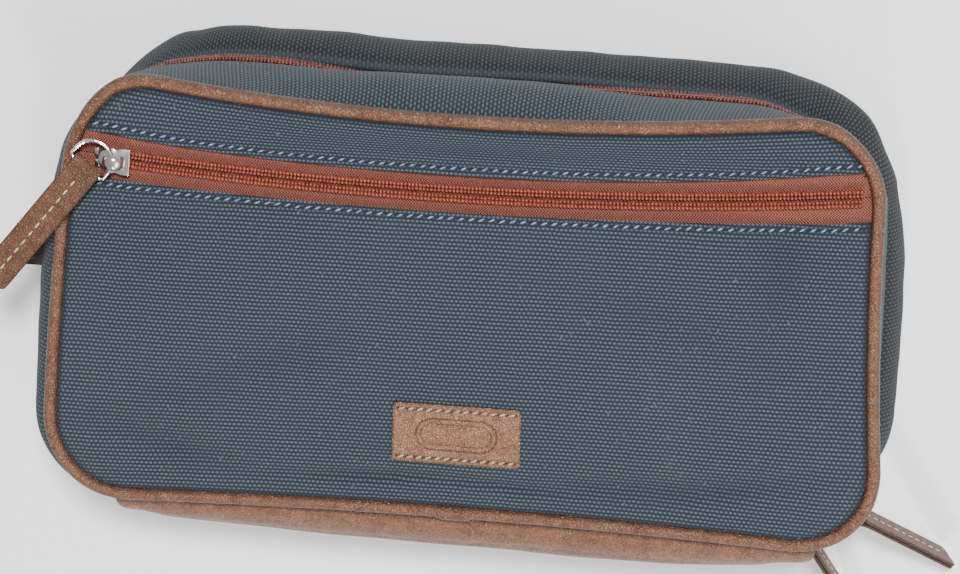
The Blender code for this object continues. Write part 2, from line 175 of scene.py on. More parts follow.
def settle(obj):
    # the soft front half hangs in a shallow curve between its stiffer corners
    k = settling
    points = coords(obj) / mm
    x, y, z = points.T
    w = ease((z - k["from"]) / (k["to"] - k["from"]))
    u = np.clip((x / bag["halfWidth"] + 1) / 2, -0.05, 1.05)
    v = np.clip((y / bag["halfHeight"] + 1) / 2, -0.1, 1.1)
    t = np.clip(1 - (x / k["sagReach"]) ** 2, 0, 1)
    side = (k["baseLeft"][0] * (1 - u) + k["baseRight"][0] * u) * (1 - v)
    side = side + (k["topLeft"][0] * (1 - u) + k["topRight"][0] * u) * v
    side = side + k["topLeftLean"] * (1 - u) ** 2 * v ** 2
    left, right = (ease((way * x - k["sideFrom"]) / k["sideReach"]) for way in (-1, 1))
    pinch = np.clip(1 - (y / k["sideReach"]) ** 2, 0, 1)
    side = side + pinch * (k["leftIn"] * left - k["rightIn"] * right)
    up = (k["topLeft"][1] * (1 - u) + k["topRight"][1] * u - k["topSag"] * t) * ease((y - 44) / 19)
    down = (k["baseLeft"][1] * (1 - u) + k["baseRight"][1] * u + k["baseRise"] * t) * ease(-y / 62)
    dx, dy = w * side, w * (up + down)
    back = 1 - ease((z - k["backFrom"]) / (k["backTo"] - k["backFrom"]))
    for cornerX, cornerY, reach, moveX, moveY in k["backCorners"]:
        near = hump(np.hypot(x - cornerX, y - cornerY), reach) * back
        dx, dy = dx + moveX * near, dy + moveY * near
    setCoords(obj, np.stack([x + dx, y + dy, z], 1) * mm)


def gridPiece(name, across, along, place):
    # a sheet laid from a flat grid: place(u, v) gives x, y, z in mm and the cloth's own u, v in mm
    clearChoice()
    bpy.ops.mesh.primitive_grid_add(x_subdivisions=across, y_subdivisions=along, size=2)
    obj = bpy.context.object
    obj.name = obj.data.name = name
    flat = coords(obj)
    u, v = (flat[:, 0] + 1) / 2, (flat[:, 1] + 1) / 2
    x, y, z, clothU, clothV = place(u, v)
    one = np.ones_like(u)
    setCoords(obj, np.stack([x * one, y * one, z * one], 1) * mm)
    loops = np.empty(len(obj.data.loops), int)
    obj.data.loops.foreach_get("vertex_index", loops)
    cloth = np.stack([clothU * one, clothV * one], 1) / mapUnit
    obj.data.uv_layers[0].data.foreach_set("uv", cloth[loops].ravel())
    return obj


def editAll(obj, *steps):
    # runs edit-mode tools, each with its settings, on the whole mesh
    choose(obj)
    bpy.ops.object.mode_set(mode="EDIT")
    bpy.ops.mesh.select_all(action="SELECT")
    for tool, settings in steps:
        tool(**settings)
    bpy.ops.object.mode_set(mode="OBJECT")


def mergeEdges(obj):
    merge = (bpy.ops.mesh.remove_doubles, {"threshold": 0.02 * mm})
    outside = (bpy.ops.mesh.normals_make_consistent, {"inside": False})
    editAll(obj, merge, outside)


def faceOutward(obj, outward):
    # turns an open sheet over when its faces look the wrong way
    normal = np.empty(len(obj.data.polygons) * 3)
    middle = np.empty(len(obj.data.polygons) * 3)
    obj.data.polygons.foreach_get("normal", normal)
    obj.data.polygons.foreach_get("center", middle)
    if (normal.reshape(-1, 3) * outward(middle.reshape(-1, 3))).sum() < 0:
        editAll(obj, (bpy.ops.mesh.flip_normals, {}))


def markPoints(obj, name, share):
    mark = obj.data.attributes.new(name, "FLOAT", "POINT")
    mark.data.foreach_set("value", np.clip(share, 0, 1).astype(np.float32))


def awayFromMiddle(points):
    return points - np.array([0, 0, bag["zipDepth"] * mm])


def towardsMiddle(points):
    return -awayFromMiddle(points)


def upward(points):
    return points * 0 + np.array([0, 0, 1])


def downward(points):
    return -upward(points)


def thicken(obj, thick, bevel=0, offset=-1, segments=2, angle=60):
    solid = obj.modifiers.new("thickness", "SOLIDIFY")
    solid.thickness = thick * mm
    solid.offset = offset
    if bevel:
        rim = obj.modifiers.new("edges", "BEVEL")
        rim.width = bevel * mm
        rim.segments = segments
        rim.limit_method = "ANGLE"
        rim.angle_limit = math.radians(angle)
    applyAll(obj)


def joinAll(parts):
    clearChoice()
    for part in parts:
        part.select_set(True)
    bpy.context.view_layer.objects.active = parts[0]
    bpy.ops.object.join()
    return bpy.context.object


def copies(name, model, spots):
    # one mesh from many placed copies of the model
    made = []
    for spot in spots:
        item = model.copy()
        item.data = model.data.copy()
        item.data.transform(spot)
        bpy.context.collection.objects.link(item)
        made.append(item)
    joined = joinAll(made)
    joined.name = joined.data.name = name
    return joined


def axes(place, along, up):
    # matrix with X along, Z up and its origin at the place, given in mm
    x = Vector(along).normalized()
    z = Vector(up)
    z = (z - x * z.dot(x)).normalized()
    y = z.cross(x)
    turn = Matrix((x, y, z)).transposed().to_4x4()
    return Matrix.Translation(Vector(place) * mm) @ turn


# shader writing

class Wire:
    # a shader socket that takes part in sums
    def __init__(self, tree, socket):
        self.tree, self.socket = tree, socket

    def maths(self, kind, *values):
        node = self.tree.nodes.new("ShaderNodeMath")
        node.operation = kind
        for socket, value in zip(node.inputs, values):
            plug(self.tree, socket, value)
        return Wire(self.tree, node.outputs[0])

    def __add__(self, other): return self.maths("ADD", self, other)
    def __radd__(self, other): return self.maths("ADD", other, self)
    def __sub__(self, other): return self.maths("SUBTRACT", self, other)
    def __rsub__(self, other): return self.maths("SUBTRACT", other, self)
    def __mul__(self, other): return self.maths("MULTIPLY", self, other)
    def __rmul__(self, other): return self.maths("MULTIPLY", other, self)
    def __truediv__(self, other): return self.maths("DIVIDE", self, other)
    def __rtruediv__(self, other): return self.maths("DIVIDE", other, self)
    def __mod__(self, other): return self.maths("FLOORED_MODULO", self, other)
    def __rmod__(self, other): return self.maths("FLOORED_MODULO", other, self)


def plug(tree, socket, value):
    if isinstance(value, Wire):
        tree.links.new(value.socket, socket)
    else:
        socket.default_value = value


def sine(wire): return wire.maths("SINE", wire)
def cosine(wire): return wire.maths("COSINE", wire)
def wholePart(wire): return wire.maths("FLOOR", wire)
def withoutSign(wire): return wire.maths("ABSOLUTE", wire)
def larger(first, second): return first.maths("MAXIMUM", first, second)
def above(wire, level): return wire.maths("GREATER_THAN", wire, level)


class Finish:
    # one material, with its shader and the few calls that the recipes below need
    def __init__(self, name, **constants):
        self.material = bpy.data.materials.new(name)
        self.material.use_nodes = True
        self.tree = self.material.node_tree
        self.shader = self.tree.nodes["Principled BSDF"]
        for socket, value in constants.items():
            self.shader.inputs[socket].default_value = value

    def node(self, kind, settings=None, out=0, **inputs):
        made = self.tree.nodes.new(kind)
        for key, value in (settings or {}).items():
            setattr(made, key, value)
        for key, value in inputs.items():
            numbered = key[0] == "i" and key[1:].isdigit()  # i0, i1 and so on are sockets by number
            plug(self.tree, made.inputs[int(key[1:]) if numbered else key], value)
        return Wire(self.tree, made.outputs[out])

    def cloth(self):
        # the piece's own map in mm, along and across
        uv = self.node("ShaderNodeUVMap", {"uv_map": "UVMap"})
        along = self.node("ShaderNodeSeparateXYZ", i0=uv)
        across = Wire(self.tree, along.socket.node.outputs[1])
        return along * mapUnit, across * mapUnit

    def place(self):
        return self.node("ShaderNodeTexCoord", out=3)

    def noise(self, scale, detail=3, rough=0.55):
        return self.node("ShaderNodeTexNoise", Vector=self.place(), Scale=scale, Detail=detail, Roughness=rough)

    def bent(self, reach):
        # object coordinates pushed about a little, so that cells aren't straight sided
        push = self.node("ShaderNodeTexNoise", out=1, Vector=self.place(), Scale=420, Detail=2)
        push = self.node("ShaderNodeVectorMath", {"operation": "SUBTRACT"}, i0=push, i1=(0.5, 0.5, 0.5))
        push = self.node("ShaderNodeVectorMath", {"operation": "SCALE"}, i0=push, Scale=2 * reach)
        return self.node("ShaderNodeVectorMath", {"operation": "ADD"}, i0=self.place(), i1=push)

    def creases(self, scale):
        # distance to the creases between pebbles
        where = self.bent(0.6 * mm)
        return self.node("ShaderNodeTexVoronoi", {"feature": "DISTANCE_TO_EDGE"}, Vector=where, Scale=scale)

    def blend(self, share, first, second, kind="MIX"):
        first = first if isinstance(first, Wire) else (*first, 1)
        second = second if isinstance(second, Wire) else (*second, 1)
        settings = {"data_type": "RGBA", "blend_type": kind}
        return self.node("ShaderNodeMix", settings, out=2, i0=share, i6=first, i7=second)

    def mark(self, name):
        return self.node("ShaderNodeAttribute", {"attribute_name": name}, out=2)

    def bumps(self, height, distance):
        return self.node("ShaderNodeBump", Strength=1.0, Distance=distance * mm, Height=height)

    def connect(self, **links):
        for key, value in links.items():
            plug(self.tree, self.shader.inputs[key.replace("_", " ")], value)
        return self.material


def stretch(wire, low, high):
    # low..high to 0..1, held inside
    scaled = (wire - low) / (high - low)
    scaled.socket.node.use_clamp = True
    return scaled


canvasLook = {
    "row": 1.25,  # mm from row to row
    "dot": 1.37,  # mm from dot to dot along a row
    "ground": (0.0050, 0.0082, 0.0118),
    "dotColour": (0.086, 0.112, 0.140),
    "relief": 0.30,
}


def canvasFinish(name, tint=(1, 1, 1), turned=False):
    k = canvasLook
    f = Finish(name, Roughness=0.88)
    f.shader.inputs["Sheen Weight"].default_value = 0.05
    f.shader.inputs["Specular IOR Level"].default_value = 0.25
    f.shader.inputs["Sheen Roughness"].default_value = 0.6
    u, v = f.cloth()
    if turned:
        u, v = v, u
    drift = f.noise(90, 2)
    v2 = v / k["row"] + drift * 0.5
    row = wholePart(v2)
    u2 = u / k["dot"] + (row % 2) * 0.5 + f.noise(60, 2) * 0.6
    up = sine(v2 * math.pi)
    up = up * up
    dot = 0.5 + 0.5 * cosine(u2 * math.tau)
    uneven = f.noise(1500, 2)
    raised = up * (0.20 + 0.80 * dot) * (0.40 + 1.2 * uneven)
    fibre = f.noise(6000, 2, 0.7)
    wide = f.noise(14, 3)
    shade = f.blend(stretch(raised, 0.10, 0.78), k["ground"], k["dotColour"])
    shade = f.blend(0.16, shade, f.blend(stretch(wide, 0.3, 0.7), (0.018, 0.028, 0.040), (0.046, 0.060, 0.074)))
    # painted shade: darker in the grooves of the stitch rows, beside the piping and in the fold valleys
    shade = f.blend(f.mark("seam") * 0.75, shade, (0.005, 0.008, 0.019))
    shade = f.blend(f.mark("fold") * 0.8, shade, (0.115, 0.150, 0.200))
    lint = above(f.noise(900, 1, 0.3), 0.765)
    shade = f.blend(lint * 0.35, shade, (0.16, 0.18, 0.19))
    shade = f.blend(stretch(fibre, 0.60, 0.8) * 0.3, shade, (0.10, 0.12, 0.14))
    if tint != (1, 1, 1):
        shade = f.blend(1.0, shade, tint, "MULTIPLY")
    return f.connect(Base_Color=shade, Normal=f.bumps(raised + fibre * 0.25, k["relief"]))


def leatherFinish(name, dark, light, rough=0.42, grain=1.0, shine=0.5, relief=0.2, sparkle=0.4):
    # pebbled grain with darker creases, and darker cut edges where the piece carries a rim mark
    f = Finish(name, Roughness=rough)
    f.shader.inputs["Specular IOR Level"].default_value = shine
    soft = f.noise(110, 3)
    pebble = stretch(f.creases(1250 / grain), 0.0, 0.34)
    fine = f.noise(3600, 3, 0.6)
    long = f.noise(330, 4, 0.6)
    tone = f.blend(stretch(long * 0.65 + soft * 0.35, 0.36, 0.64), dark, light)
    tone = f.blend((1 - pebble) * 0.6, tone, tuple(c * 0.4 for c in dark))
    # painted shade where a piece marks it: the sides of the piping, the crease and lower part of the base band,
    # the label's pressed lines and stitch rows
    tone = f.blend(f.mark("paintedShade") * 0.85, tone, tuple(c * 0.16 for c in dark))
    tone = f.blend(f.mark("rim"), tone, tuple(c * 0.30 for c in dark))
    # painted highlight: light specks on the grain, kept off the painted shade
    glint = stretch(f.noise(2300, 2, 0.7), 0.56, 0.70) * (1 - f.mark("paintedShade")) * sparkle
    tone = f.blend(glint, tone, tuple(min(1, c * 2.6 + 0.05) for c in light))
    height = pebble * 0.65 + fine * 0.3 + long * 0.5
    gloss = rough - 0.05 + (1 - pebble) * 0.2 + fine * 0.08
    return f.connect(Base_Color=tone, Roughness=gloss, Normal=f.bumps(height, relief))


def tapeFinish(name):
    # herringbone: slanted ribs that change side from band to band
    f = Finish(name, Roughness=0.8)
    u, v = f.cloth()
    band = v / 1.5
    lean = withoutSign((band % 2) - 1)
    rib = 0.5 + 0.5 * sine((u + lean * 1.6) / 0.95 * math.tau)
    worn = f.noise(900, 3)
    tone = f.blend(rib * 0.9, (0.060, 0.009, 0.004), (0.320, 0.100, 0.066))
    tone = f.blend(stretch(worn, 0.5, 0.8) * 0.3, tone, (0.38, 0.14, 0.09))
    return f.connect(Base_Color=tone, Normal=f.bumps(rib + worn * 0.4, 0.28))


def threadFinish(name, dark, light, rough=0.6, scale=1600, lit=None):
    f = Finish(name, Roughness=rough)
    twist = f.noise(scale, 2)
    tone = f.blend(stretch(twist, 0.35, 0.65), dark, light)
    if lit:
        tone = f.blend(f.mark("lit") * stretch(twist, 0.30, 0.50), dark, lit)
    return f.connect(Base_Color=tone, Normal=f.bumps(twist, 0.05))


def nickelFinish(name):
    f = Finish(name, Metallic=1.0)
    smear = f.noise(240, 4)
    scratch = f.noise(1800, 2)
    tone = f.blend(stretch(smear, 0.35, 0.7), (0.78, 0.77, 0.74), (0.60, 0.58, 0.55))
    return f.connect(Base_Color=tone, Roughness=0.14 + smear * 0.16, Normal=f.bumps(scratch, 0.008))


def liningFinish(name, dark, light):
    f = Finish(name, Roughness=0.62)
    u, v = f.cloth()
    warp = 0.5 + 0.5 * sine(u / 0.55 * math.tau)
    weft = 0.5 + 0.5 * sine(v / 0.55 * math.tau)
    grid = larger(warp, weft)
    tone = f.blend(grid * 0.8 + f.noise(70, 3) * 0.2, dark, light)
    return f.connect(Base_Color=tone, Normal=f.bumps(grid, 0.05))


# dark and light tone, roughness, pebble size, gloss, relief and painted glints
leathers = {
    "trim": ("tanTrimLeather", (0.096, 0.035, 0.014), (0.215, 0.090, 0.041), 0.30, 1.0, 0.45, 0.30, 0.6),
    "band": ("tanBaseLeather", (0.112, 0.041, 0.016), (0.270, 0.112, 0.050), 0.33, 1.15, 0.40, 0.34, 0.5),
    # the tab's near-black tone is brown leather with painted shade
    "tab": ("shadedTabLeather", (0.018, 0.009, 0.006), (0.045, 0.021, 0.012), 0.50, 1.2, 0.4, 0.3, 0.1),
    "pull": ("brownPullLeather", (0.095, 0.041, 0.020), (0.205, 0.097, 0.050), 0.40, 1.2, 0.35, 0.5, 0.25),
    "label": ("labelLeather", (0.190, 0.085, 0.042), (0.330, 0.165, 0.090), 0.30, 1.0, 0.50, 0.42, 0.6),
}
# dark and light tone, roughness, twist, and the tone where a stitch is lit
threads = {
    "mainCoil": ("darkZipCoil", (0.030, 0.006, 0.004), (0.150, 0.032, 0.020), 0.28, 900),
    "coil": ("rustZipCoil", (0.110, 0.018, 0.009), (0.300, 0.070, 0.040), 0.34),
    "navyThread": ("blueThread", (0.006, 0.013, 0.042), (0.030, 0.052, 0.120), 0.45, 1300, (0.27, 0.36, 0.50)),
    "creamThread": ("creamThread", (0.30, 0.24, 0.16), (0.62, 0.55, 0.43), 0.6),
    "labelThread": ("labelThread", (0.22, 0.13, 0.07), (0.52, 0.37, 0.24), 0.5),
}
finishes = {
    "canvas": canvasFinish("navyCanvas"),
    "gusset": canvasFinish("navyGussetCanvas", (0.80, 0.84, 0.86), turned=True),
    # painted shade: the back gusset is the same canvas darkened to less than half
    "shadedGussetBack": canvasFinish("backGussetCanvas", (0.44, 0.43, 0.41), turned=True),
    "tape": tapeFinish("rustZipTape"),
    "nickel": nickelFinish("nickelPlate"),
    "lining": liningFinish("navyLining", (0.010, 0.013, 0.020), (0.034, 0.042, 0.056)),
}
finishes.update({key: leatherFinish(*look) for key, look in leathers.items()})
finishes.update({key: threadFinish(*look) for key, look in threads.items()})


def finish(obj, key):
    obj.data.materials.clear()
    obj.data.materials.append(finishes[key])


def enter(obj, key, body, nodes):
    # finish, body, stood-for nodes and material slot of a piece
    finish(obj, key)
    if body:
        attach(obj, body)
    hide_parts(*nodes)


def layCloth(obj, outward, thick, bevel=0):
    faceOutward(obj, outward)
    thicken(obj, thick, bevel)
    settle(obj)
    smooth(obj)


# front canvas

frontPanel = {
    "edge": 62.45,  # height of the canvas at the piping
    "crown": 1.7,
    "tuck": 1.0,
    "thick": 1.3,
    "slot": 5.55,  # from the zip's line to the folded edge, at mid width
    "slotLeft": 1.1,  # how much wider the slot opens at its ends
    "slotRight": 1.9,
    "stitchAbove": 2.3,
    "stitchBelow": 1.8,
    "inset": 1.3,
    "crownReach": 48.0,
    "foldScale": 1.7,
    "seamDip": 2.4,  # from the piping's line to the shade beside it
}
zipLine = {"half": 122.5, "ends": 42.5, "sag": 6.0}  # the pocket zip hangs in a long arc
zipRadius = (zipLine["half"] ** 2 + zipLine["sag"] ** 2) / (2 * zipLine["sag"])

# soft folds of the front: centre, half width, half height, lean and depth
frontFolds = (
    (-26, -54.0, 24, 1.9, 0.05, 1.1),
    (14, -54.5, 16, 1.6, -0.06, 0.9),
    (46, -52.0, 22, 3.0, 0.10, 0.8),
    (78, -50.0, 30, 4.5, 0.22, 0.9),
    (-86, -48.0, 26, 5.0, -0.30, 0.7),
    (-60, -20.0, 30, 9.0, 0.35, 0.5),
    (60, 2.0, 36, 9.0, -0.30, 0.45),
    (8, 51.5, 40, 3.2, 0.0, 0.5),
    (96, 20.0, 9, 24.0, 0.0, 0.7),
)


def zipY(x):
    middle = zipLine["ends"] - zipLine["sag"] + zipRadius
    return middle - np.sqrt(zipRadius * zipRadius - np.asarray(x, float) ** 2)


def slotHalf(x):
    k = frontPanel
    share = np.clip(np.abs(x) / 110, 0, 1) ** 2.4
    return k["slot"] + share * np.where(np.asarray(x) < 0, k["slotLeft"], k["slotRight"])


def roundedBox(x, y, halfX, halfY, radius):
    # distance outside a box with rounded corners, below 0 inside it
    dx, dy = np.abs(x) - halfX + radius, np.abs(y) - halfY + radius
    return np.hypot(np.maximum(dx, 0), np.maximum(dy, 0)) + np.minimum(np.maximum(dx, dy), 0) - radius


def insideBy(x, y):
    # how far a point lies inside the piping's centre line
    return -roundedBox(x, y, bag["halfWidth"], bag["halfHeight"], bag["corner"])


def foldShare(x, y, fold, tallness=1.0):
    foldX, foldY, wide, tall, lean, deep = fold
    along, off = x - foldX, y - foldY - lean * (x - foldX)
    return deep * np.exp(-(along / wide) ** 2 - (off / (tallness * tall)) ** 2)


def frontHeight(x, y):
    k = frontPanel
    x, y = np.asarray(x, float), np.asarray(y, float)
    inside = insideBy(x, y)
    z = k["edge"] + k["crown"] * ease(inside / k["crownReach"])
    z = z - k["tuck"] * hump(inside - k["inset"], 1.5)
    z = z + 0.38 * waves(x, y, 3, 62) * ease(inside / 14)
    z = z + 0.22 * waves(x, y * 2.2, 5, 26) * ease((inside - 2) / 8) * ease((10 - y) / 40)
    for fold in frontFolds:
        z = z - k["foldScale"] * foldShare(x, y, fold) * ease((inside - 2) / 4)
    reach = np.abs(y - zipY(x)) - slotHalf(x)  # from the folded edge
    z = z - 0.55 * hump(np.maximum(reach, 0), 7)
    seam = np.where(y > zipY(x), k["stitchAbove"], k["stitchBelow"])
    z = z - 0.22 * hump(reach - seam, 0.5)
    return z - 0.25 * hump(np.maximum(reach, 0), 0.35)


def sideX(y, inset):
    half = bag["halfWidth"] - inset
    past = np.maximum(np.abs(y) - (bag["halfHeight"] - bag["corner"]), 0)
    radius = bag["corner"] - inset
    return half - radius + np.sqrt(np.maximum(radius * radius - past * past, 0))


def outlineLength(x, y):
    # length round the outline of the point at this height on the right side, y within the straight or corner
    a = bag["halfWidth"] - bag["corner"]
    b = bag["halfHeight"] - bag["corner"]
    q = math.pi * bag["corner"] / 2
    if y <= b:
        return a + q + b + y
    return a + q + 2 * b + bag["corner"] * math.asin(min(1, (y - b) / bag["corner"]))


def makeFrontPanel(name, way):
    k = frontPanel
    end = sideX(zipY(118) + way * slotHalf(118.0), k["inset"])
    endY = float(zipY(end) + way * slotHalf(end))
    startS = outlineLength(1, endY)
    if way > 0:
        first, last = roundLength - startS, startS  # over the top, left to right
    else:
        first, last = roundLength - startS, roundLength + startS  # under, left to right

    def place(u, v):
        x0 = -end + 2 * end * u
        y0 = zipY(x0) + way * slotHalf(x0)
        x1, y1, nx, ny = outline(first + (last - first) * u)
        x1, y1 = x1 - nx * k["inset"], y1 - ny * k["inset"]
        t = v ** 1.15 if way > 0 else 0.55 * v + 0.45 * v ** 2
        x, y = x0 + (x1 - x0) * t, y0 + (y1 - y0) * t
        return x, y, frontHeight(x, y), x, y

    obj = gridPiece(name, 260, 60 if way > 0 else 120, place)
    faceOutward(obj, upward)
    x, y, _ = (coords(obj) / mm).T
    reach = np.abs(y - zipY(x)) - slotHalf(x)
    row = k["stitchAbove"] if way > 0 else k["stitchBelow"]
    # painted shade: the seam mark darkens the stitch row's groove, the strip beside the piping and the fold
    # valleys
    dip = 0.42 * sum(foldShare(x, y, fold, 0.8) for fold in frontFolds)
    markPoints(obj, "seam", hump(reach - row, 0.8) + hump(insideBy(x, y) - k["seamDip"], 0.9) + dip)
    thicken(obj, k["thick"])
    settle(obj)
    smooth(obj)
    return obj


panelRows = (
    ("frontCanvasUpper", 1, "front_panel_upper", (0.246, 0.018)),
    ("frontCanvasLower", -1, "front_panel_lower", (0.254, 0.096)),
)
for name, way, node, flat in panelRows:
    enter(makeFrontPanel(name, way), "canvas", "front_half", [node])
print("front canvas done")


# gussets, one lobe each side of the main zip

gusset = {
    "bandEnd": 96.0,  # where the canvas goes under the leather base
    "thick": 1.4,
    "root": -0.8,
    "curl": 0.93,  # share of the cloth where it turns in beside the coil
    "front": {
        "from": 60.2, "to": 37.2, "top": 1.6, "side": 4.6, "left": 3.8, "right": -2.2, "lean": 0.88,
        "swell": (4.6, -4, 44, 4),  # height, middle, reach and sharpness of the swell along the top
        "slack": 0.72, "finish": "gusset",
    },
    "back": {
        "from": 3.6, "to": 26.8, "top": 8.4, "side": 5.4, "left": 1.8, "right": 3.8, "lean": 0.80,
        "swell": (-2.2, 40, 52, 2),
        "slack": 0.22, "finish": "shadedGussetBack",
    },
}
slackCorner = (-118, 56, 27)  # x, y and radius
zipArch = {"left": 3.2, "leftFrom": 50, "right": 0.8, "rightCorner": 3.6, "lift": 0.8}


def lobeBulge(side, x, y, nx, ny):
    k = gusset[side]
    top = ease(ny)
    high, middle, reach, sharp = k["swell"]
    bulge = k["side"] + (k["top"] - k["side"]) * top + k["left"] * ease(-nx) + k["right"] * ease(nx)
    bulge = bulge + high * hump(x - middle, reach, sharp) * top
    slackX, slackY, slackReach = slackCorner
    return bulge * (1 - k["slack"] * hump(np.hypot(x - slackX, y - slackY), slackReach))


def zipRise(x, ny):
    # the zip arches up between the lobes at the left shoulder and lies deep round the right corner
    k = zipArch
    top = ease((ny - 0.55) / 0.45)
    left = k["left"] * (1 - hump(x, k["leftFrom"], 4)) * ease((114 - np.abs(x)) / 40) * (x < 0)
    right = -k["right"] * ease((x - 20) / 40) - k["rightCorner"] * ease((x - 84) / 22)
    return left * top + right * ease((ny + 0.1) / 0.5)


def zipLift(x, ny):
    # the canvas edges stand back from the coil at both shoulders, so the zip is seen there
    return zipArch["lift"] * ease((ny - 0.55) / 0.45) * (1 - hump(x + 4, 48, 4))


def makeGusset(name, side):
    k = gusset[side]
    root, curlFrom = gusset["root"], gusset["curl"]

    def place(u, v):
        s = gusset["bandEnd"] + (roundLength - 2 * gusset["bandEnd"]) * u
        x, y, nx, ny = outline(s)
        t = np.clip(v / curlFrom, 0, 1)
        curl = np.clip((v - curlFrom) / (1 - curlFrom), 0, 1) * np.pi / 2
        bulge = lobeBulge(side, x, y, nx, ny) * (1 + 0.10 * waves(s, t * 30, 11 + len(side), 55))
        bulge = bulge + 0.35 * waves(s, t * 12, 17, 17) * np.sin(np.pi * t)
        n = root + (0.5 - zipLift(x, ny) + zipRise(x, ny) - root) * t
        n = n + bulge * np.sin(np.pi * t ** k["lean"]) ** 0.72
        n = n - 0.25 * hump(v - 0.86, 0.018) - 1.3 * np.sin(curl)
        z = k["from"] + (k["to"] - k["from"]) * (t - 0.022 * (1 - np.cos(curl)))
        return x + nx * n, y + ny * n, z, s, v * 25

    along, across = 420, 34
    obj = gridPiece(name, along, across, place)
    share = np.repeat(np.linspace(0, 1, across + 1), along + 1)
    markPoints(obj, "fold", hump(share - 0.925, 0.022) * 0.7)
    layCloth(obj, awayFromMiddle, gusset["thick"])
    return obj


for side in ("front", "back"):
    look = gusset[side]["finish"]
    piece = makeGusset(side + "GussetCanvas", side)
    enter(piece, look, side + "_half", [side + "_gusset"])
print("gussets done")


# piping, one loop round each panel with an overlap at the base

piping = {"radius": 2.1, "overlap": 6.0, "steps": 620, "round": 24}


def makePiping(name, z, up):
    k = piping

    def place(u, v):
        s = -k["overlap"] + (roundLength + 2 * k["overlap"]) * u
        x, y, nx, ny = outline(s)
        last = ease((s - roundLength + k["overlap"]) / 3.0)
        first = ease((k["overlap"] * 0.6 - s) / 3.0)
        rad = k["radius"] * (1 + 0.14 * last - 0.10 * first)
        rad = rad * np.clip(np.minimum(u, 1 - u) * 900, 0.03, 1) ** 0.5
        rad = rad * (1 + 0.025 * waves(s, v * 9, 23, 16))
        phi = v * math.tau
        n = rad * np.cos(phi) + 0.35 * last
        return x + nx * n, y + ny * n, z + up * 0.15 * last + rad * np.sin(phi), s, v * 13

    obj = gridPiece(name, k["steps"], k["round"], place)
    phi = math.tau * np.repeat(np.linspace(0, 1, k["round"] + 1), k["steps"] + 1)
    low = np.where(up * np.sin(phi) > 0, np.abs(np.cos(phi)), 1)  # painted shade: darker towards the seams, so the piping looks round
    markPoints(obj, "paintedShade", 0.72 * ease((low - 0.30) / 0.62))
    mergeEdges(obj)
    settle(obj)
    smooth(obj)
    return obj


for side, z, up in (("front", bag["frontPiping"], 1), ("back", bag["backPiping"], -1)):
    piece = makePiping(side + "LeatherPiping", z, up)
    enter(piece, "trim", side + "_half", [side + "_piping", side + "_piping_cord"])
print("piping done")


# leather base, one sheet over both halves

base = {
    "half": 97.5,
    "rightAtFront": 107.0,
    "leftAtFront": 104.5,
    "low": 4.0,
    "high": 58.9,
    "fullTo": 57.6,
    "bulgeMid": 20.2,
    "bulgeEnd": 15.8,
    "root": -0.6,
    "swell": (2.4, 66, 42),  # height, place along the base and reach
    "creases": ((1.0, 50.5, 1.2, 31, 1.1), (0.6, 42.0, -1.6, 23, 0.9)),
    "creaseDepth": 0.32,
    "thick": 1.7,
}


def makeBase():
    k = base

    def place(u, v):
        z = k["low"] + (k["high"] - k["low"]) * v
        rise = ease((z - 38) / 21)
        right = k["half"] + (k["rightAtFront"] - k["half"]) * rise
        left = k["half"] + (k["leftAtFront"] - k["half"]) * rise
        s = -left + (left + right) * u
        x, y, nx, ny = outline(s)
        share = np.clip(np.abs(s) / 100, 0, 1)
        high, middle, reach = k["swell"]
        bulge = k["bulgeEnd"] + (k["bulgeMid"] - k["bulgeEnd"]) * (1 - share ** 2)
        bulge = bulge + high * hump(s - middle, reach)
        t = np.clip(np.abs(2 * (z - k["low"]) / (k["fullTo"] - k["low"]) - 1), 0, 1)
        n = k["root"] + (bulge - k["root"]) * (1 - t ** 2.8) ** 0.55
        n = n - 2.0 * ease((share - 0.9) / 0.1) * np.sin(np.pi * v)
        crease = sum(
            deep * hump(z - height - wander * np.sin(s / length), wide)
            for deep, height, wander, length, wide in k["creases"]
        )
        n = n - k["creaseDepth"] * crease * (1 - share ** 4)
        n = n + 0.35 * waves(s, z * 1.8, 29, 42) * np.sin(np.pi * v)
        return x + nx * n, y + ny * n, z, s, z

    obj = gridPiece("leatherBase", 300, 110, place)
    faceOutward(obj, awayFromMiddle)
    x, y, z = (coords(obj) / mm).T
    outward = -insideBy(x, y)
    # painted shade: darker in the crease under the piping and towards the lower edge of the rounded band
    seam = ease((5.8 - outward) / 2.6) * (z > 40)
    under = 0.62 * ease((outward - 12.5) / 7) * ease((60 - z) / 8)
    markPoints(obj, "paintedShade", seam + under)
    layCloth(obj, awayFromMiddle, k["thick"], 0.35)
    return obj


leatherBase = makeBase()
baseNodes = ["base_band_back", "base_band_front"]
enter(leatherBase, "band", None, baseNodes)
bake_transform(leatherBase)
print("leather base done")


# back panel, linings and the wall of the front pocket

